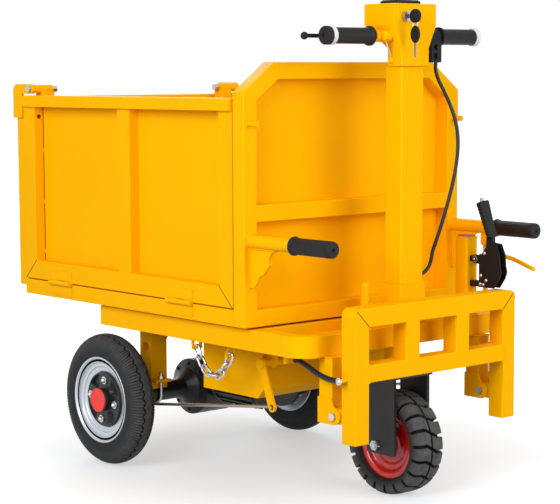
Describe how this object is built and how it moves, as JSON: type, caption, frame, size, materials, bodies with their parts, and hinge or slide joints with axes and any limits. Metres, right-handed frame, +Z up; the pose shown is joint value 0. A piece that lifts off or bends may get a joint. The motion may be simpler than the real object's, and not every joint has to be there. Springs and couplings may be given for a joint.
{
  "type": "concrete buggy",
  "caption": "Electric three-wheel tipping cart with a square hopper, drop sides, hinged tailgate, steered front wheel on a handlebar column and a fold-down step.",
  "frame": {"origin": "middle of the footprint box on the ground", "axes": "+X along the cart to the operator's end, -Y the operator's left when facing the hopper, +Z up"},
  "size_m": [1.246, 0.746, 1.179],
  "materials": {
    "yellow_paint": "gloss",
    "dark_paint": "satin",
    "black_metal": "satin",
    "zinc": "satin",
    "grip_rubber": "matte",
    "tyre_rubber": "matte",
    "red_paint": "gloss",
    "red_plastic": "gloss",
    "black_plastic": "matte",
    "battery_case": "matte"
  },
  "bodies": {
    "chassis": {"chassis_frame": "yellow_paint", "steering_head": "yellow_paint", "axle_hangers": "yellow_paint", "axle_u_bolts": "zinc", "axle_housing": "black_metal", "drive_motor": "black_metal", "battery_box": "yellow_paint", "battery_pack": "battery_case", "step_brackets": "yellow_paint", "step_pivot_bolts": "zinc", "handbrake_post": "yellow_paint", "handbrake_quadrant": "dark_paint", "tip_hinge_pins": "zinc", "limit_chain": "zinc", "step_spring": "grip_rubber"},
    "hopper": {"hopper_base": "yellow_paint", "hopper_floor": "yellow_paint", "front_wall": "yellow_paint", "tailgate_posts": "yellow_paint", "tip_handles": "yellow_paint", "handle_grips": "grip_rubber", "gate_hinge_leaves": "yellow_paint"},
    "left_gate": {"left_gate": "yellow_paint"},
    "right_gate": {"right_gate": "yellow_paint"},
    "left_gate_pin": {"left_gate_pin": "zinc"},
    "right_gate_pin": {"right_gate_pin": "zinc"},
    "tailgate": {"tailgate": "yellow_paint", "tailgate_hangers": "yellow_paint", "tailgate_pivot_bolts": "zinc"},
    "latch": {"latch_lever": "yellow_paint"},
    "steering": {"steering_column": "yellow_paint", "head_box": "yellow_paint", "display": "black_plastic", "handlebar": "yellow_paint", "left_grip": "grip_rubber", "fork": "dark_paint", "front_axle_bolt": "zinc", "key_switch": "zinc", "switch_block": "black_plastic", "control_cable": "grip_rubber"},
    "throttle": {"throttle_grip": "grip_rubber"},
    "brake_lever": {"brake_lever": "black_plastic"},
    "key": {"ignition_key": "black_plastic"},
    "horn_button": {"horn_button": "black_plastic"},
    "light_button": {"light_button": "black_plastic"},
    "front_wheel": {"front_rim": "red_paint", "front_tyre": "tyre_rubber"},
    "left_wheel": {"left_tyre": "tyre_rubber", "left_rim": "zinc", "left_hub": "black_metal", "left_hub_cap": "red_plastic"},
    "right_wheel": {"right_tyre": "tyre_rubber", "right_rim": "zinc", "right_hub": "black_metal", "right_hub_cap": "red_plastic"},
    "step": {"step_frame": "yellow_paint"},
    "handbrake": {"handbrake_lever": "dark_paint"},
    "handbrake_button": {"handbrake_button": "zinc"},
    "brake_shaft": {"brake_shaft": "yellow_paint"},
    "brake_rods": {"brake_rods": "zinc"}
  },
  "joints": [
    {"name": "hopper_tip", "type": "hinge", "parent": "chassis", "child": "hopper", "pos_m": [-0.282, 0, 0.393], "axis": [0, -1, 0], "range_deg": [0, 50]},
    {"name": "left_gate_drop", "type": "hinge", "parent": "hopper", "child": "left_gate", "pos_m": [0.01, -0.3665, 0.4615], "axis": [1, 0, 0], "range_deg": [0, 135]},
    {"name": "right_gate_drop", "type": "hinge", "parent": "hopper", "child": "right_gate", "pos_m": [0.01, 0.3665, 0.4615], "axis": [-1, 0, 0], "range_deg": [0, 135]},
    {"name": "left_gate_pin_push", "type": "slide", "parent": "hopper", "child": "left_gate_pin", "axis": [-1, 0, 0], "range_m": [0, 0.02]},
    {"name": "right_gate_pin_push", "type": "slide", "parent": "hopper", "child": "right_gate_pin", "axis": [-1, 0, 0], "range_m": [0, 0.02]},
    {"name": "tailgate_swing", "type": "hinge", "parent": "hopper", "child": "tailgate", "pos_m": [-0.541, 0, 0.97], "axis": [0, 1, 0], "range_deg": [0, 90]},
    {"name": "latch_swing", "type": "hinge", "parent": "hopper", "child": "latch", "pos_m": [0.453, 0.347, 0.585], "axis": [0, 1, 0], "range_deg": [0, 6]},
    {"name": "steer", "type": "hinge", "parent": "chassis", "child": "steering", "pos_m": [0.5, 0, 0.445], "axis": [0, 0, 1], "range_deg": [-40, 40]},
    {"name": "front_wheel_spin", "type": "hinge", "parent": "steering", "child": "front_wheel", "pos_m": [0.478, 0, 0.125], "axis": [0, 1, 0], "continuous": true},
    {"name": "left_wheel_spin", "type": "hinge", "parent": "chassis", "child": "left_wheel", "pos_m": [-0.247, -0.322, 0.17], "axis": [0, 1, 0], "continuous": true},
    {"name": "right_wheel_spin", "type": "hinge", "parent": "chassis", "child": "right_wheel", "pos_m": [-0.247, 0.322, 0.17], "axis": [0, 1, 0], "continuous": true},
    {"name": "step_fold", "type": "hinge", "parent": "chassis", "child": "step", "pos_m": [0.55, 0, 0.232], "axis": [0, 1, 0], "range_deg": [0, 90], "deforming": ["step_spring"]},
    {"name": "handbrake_pull", "type": "hinge", "parent": "chassis", "child": "handbrake", "pos_m": [0.574, 0.226, 0.507], "axis": [0, 1, 0], "range_deg": [0, 40]},
    {"name": "handbrake_button_press", "type": "slide", "parent": "handbrake", "child": "handbrake_button", "axis": [0.3518, 0, -0.9361], "range_m": [0, 0.006], "stiffness_N_per_m": 300},
    {"name": "brake_shaft_turn", "type": "hinge", "parent": "chassis", "child": "brake_shaft", "pos_m": [0.263, 0, 0.315], "axis": [0, -1, 0], "range_deg": [0, 6]},
    {"name": "brake_rod_pull", "type": "slide", "parent": "chassis", "child": "brake_rods", "axis": [0.9921, 0, 0.1256], "range_m": [0, 0.0106]},
    {"name": "brake_lever_squeeze", "type": "hinge", "parent": "steering", "child": "brake_lever", "pos_m": [0.443, -0.084, 1.095], "axis": [0, 0, 1], "range_deg": [0, 9], "stiffness_Nm_per_rad": 2},
    {"name": "throttle_twist", "type": "hinge", "parent": "steering", "child": "throttle", "pos_m": [0.497, 0, 1.095], "axis": [0, 1, 0], "range_deg": [0, 60], "stiffness_Nm_per_rad": 0.5},
    {"name": "key_turn", "type": "hinge", "parent": "steering", "child": "key", "pos_m": [0.54, -0.036, 1.14], "axis": [1, 0, 0], "range_deg": [0, 60]},
    {"name": "horn_press", "type": "slide", "parent": "steering", "child": "horn_button", "axis": [-1, 0, 0], "range_m": [0, 0.003], "stiffness_N_per_m": 400},
    {"name": "light_press", "type": "slide", "parent": "steering", "child": "light_button", "axis": [-1, 0, 0], "range_m": [0, 0.003], "stiffness_N_per_m": 400}
  ],
  "couplings": [
    {"joint": "brake_shaft_turn", "follows": "handbrake_pull", "ratio": 0.15},
    {"joint": "brake_rod_pull", "follows": "handbrake_pull", "m_per_rad": 0.014897}
  ]
}
